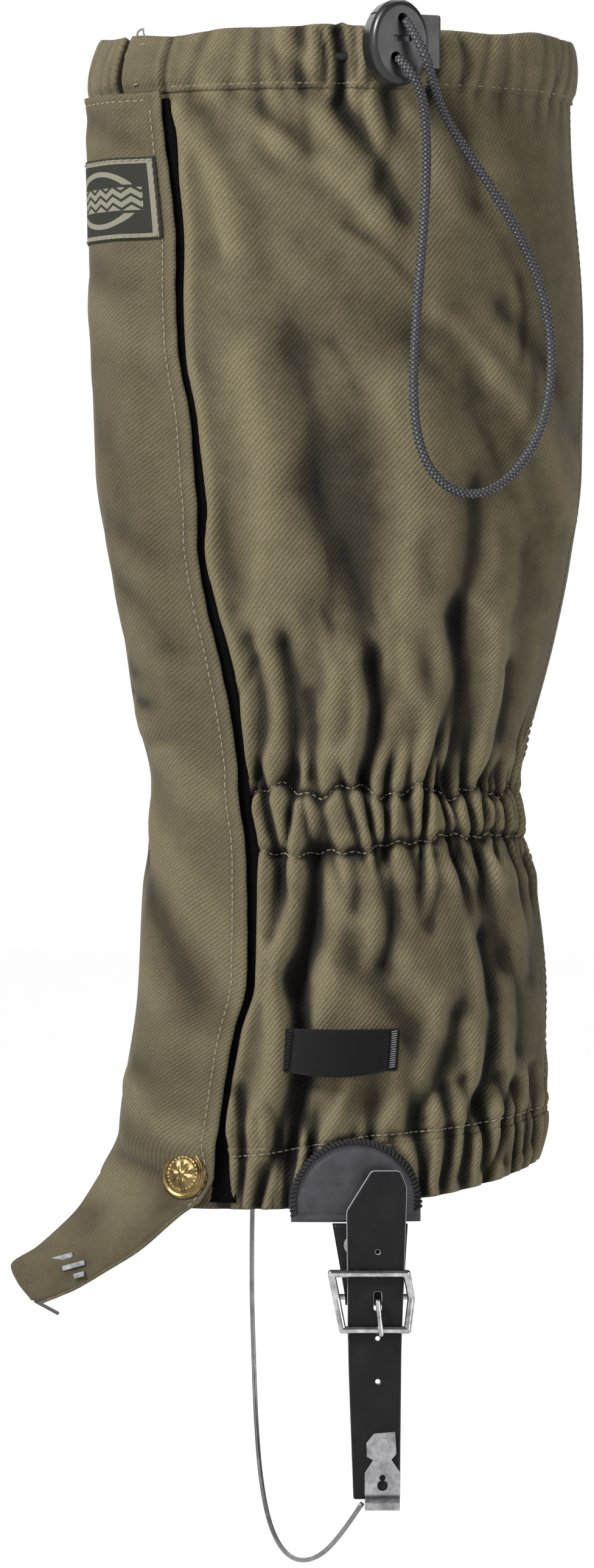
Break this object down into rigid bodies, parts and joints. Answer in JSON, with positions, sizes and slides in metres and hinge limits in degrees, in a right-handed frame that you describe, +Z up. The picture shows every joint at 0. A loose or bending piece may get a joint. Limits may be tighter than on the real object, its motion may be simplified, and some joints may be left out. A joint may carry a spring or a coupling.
{
  "type": "gaiter",
  "caption": "Knee-high fabric leg gaiter with storm flap over a zip, gathered ankle, drawcord top with cord lock, instep lace hook, and a buckled leather and wire under-foot stirrup.",
  "frame": {"origin": "centre of the bottom opening, level with the front of the hem", "axes": "+Z up the leg, -X towards the toe, -Y towards the outer side of the left leg"},
  "size_m": [0.2075, 0.1374, 0.5654],
  "materials": {
    "twill": "matt olive-brown twill",
    "webbing": "black woven polyester",
    "hook_loop": "black hook and loop",
    "elastic": "knitted elastic",
    "label": "woven label",
    "zip_tape": "black zip tape",
    "zip_coil": "black nylon coil",
    "zip_metal": "black enamel",
    "brass": "antique brass",
    "steel": "plated steel",
    "chrome": "polished chrome",
    "leather": "black leather",
    "cord": "black braided elastic cord with light flecks",
    "plastic": "black moulded nylon",
    "wire": "bare steel wire"
  },
  "bodies": {
    "gaiter": {"outer_panel": "twill", "inner_panel": "twill", "top_hem": "twill", "lower_hem": "twill", "hem_elastic": "elastic", "ankle_elastic": "elastic", "ankle_tape": "webbing", "hem_drawcord": "cord", "hem_eyelets": "brass", "zip_tape_front": "zip_tape", "zip_tape_back": "zip_tape", "zip_coil_front": "zip_coil", "zip_coil_back": "zip_coil", "zip_top_stops": "zip_metal", "zip_bottom_stop": "zip_coil", "body_loop_strip": "hook_loop", "snap_stud": "brass", "snap_post": "brass", "cord_lock_body": "plastic", "cord_lock_spring": "steel", "drawcord_loop": "cord", "outer_patch": "leather", "inner_patch": "leather", "wire_ferrule": "steel", "webbing_keeper": "webbing", "keeper_tacks": "webbing"},
    "flap": {"storm_flap": "twill", "flap_hook_strip": "hook_loop", "flap_label": "label", "snap_cap": "brass", "snap_socket": "brass", "lace_hook": "steel", "lace_hook_prongs": "steel"},
    "slider": {"zip_slider": "zip_metal"},
    "pull": {"zip_pull": "zip_metal"},
    "lock_button": {"cord_lock_button": "plastic"},
    "stirrup": {"upper_strap": "leather", "strap_rivet": "steel", "lower_strap": "leather", "buckle_frame": "chrome", "end_clip": "steel", "clip_rivet": "steel", "foot_wire": "wire"},
    "prong": {"buckle_prong": "chrome"}
  },
  "joints": [
    {"name": "flap_open", "type": "hinge", "parent": "gaiter", "child": "flap", "pos_m": [-0.0935, 0.004, 0.2], "axis": [0, 0, -1], "range_deg": [0, 120]},
    {"name": "zip_run", "type": "slide", "parent": "gaiter", "child": "slider", "axis": [0.0225, 0.0055, -0.9997], "range_m": [0, 0.112]},
    {"name": "pull_tilt", "type": "hinge", "parent": "slider", "child": "pull", "pos_m": [-0.08147, -0.0303, 0.39194], "axis": [-0.671, 0.7414, -0.011], "range_deg": [0, 5]},
    {"name": "lock_press", "type": "slide", "parent": "gaiter", "child": "lock_button", "axis": [-0.9397, -0.342, 0], "range_m": [0, 0.004], "stiffness_N_per_m": 400},
    {"name": "stirrup_swing", "type": "hinge", "parent": "gaiter", "child": "stirrup", "pos_m": [0.012, -0.0525, 0.016], "axis": [-1, 0, 0], "range_deg": [0, 40]},
    {"name": "prong_lift", "type": "hinge", "parent": "stirrup", "child": "prong", "pos_m": [0.0133, -0.0496, -0.031], "axis": [-1, 0, 0], "range_deg": [0, 8]}
  ]
}
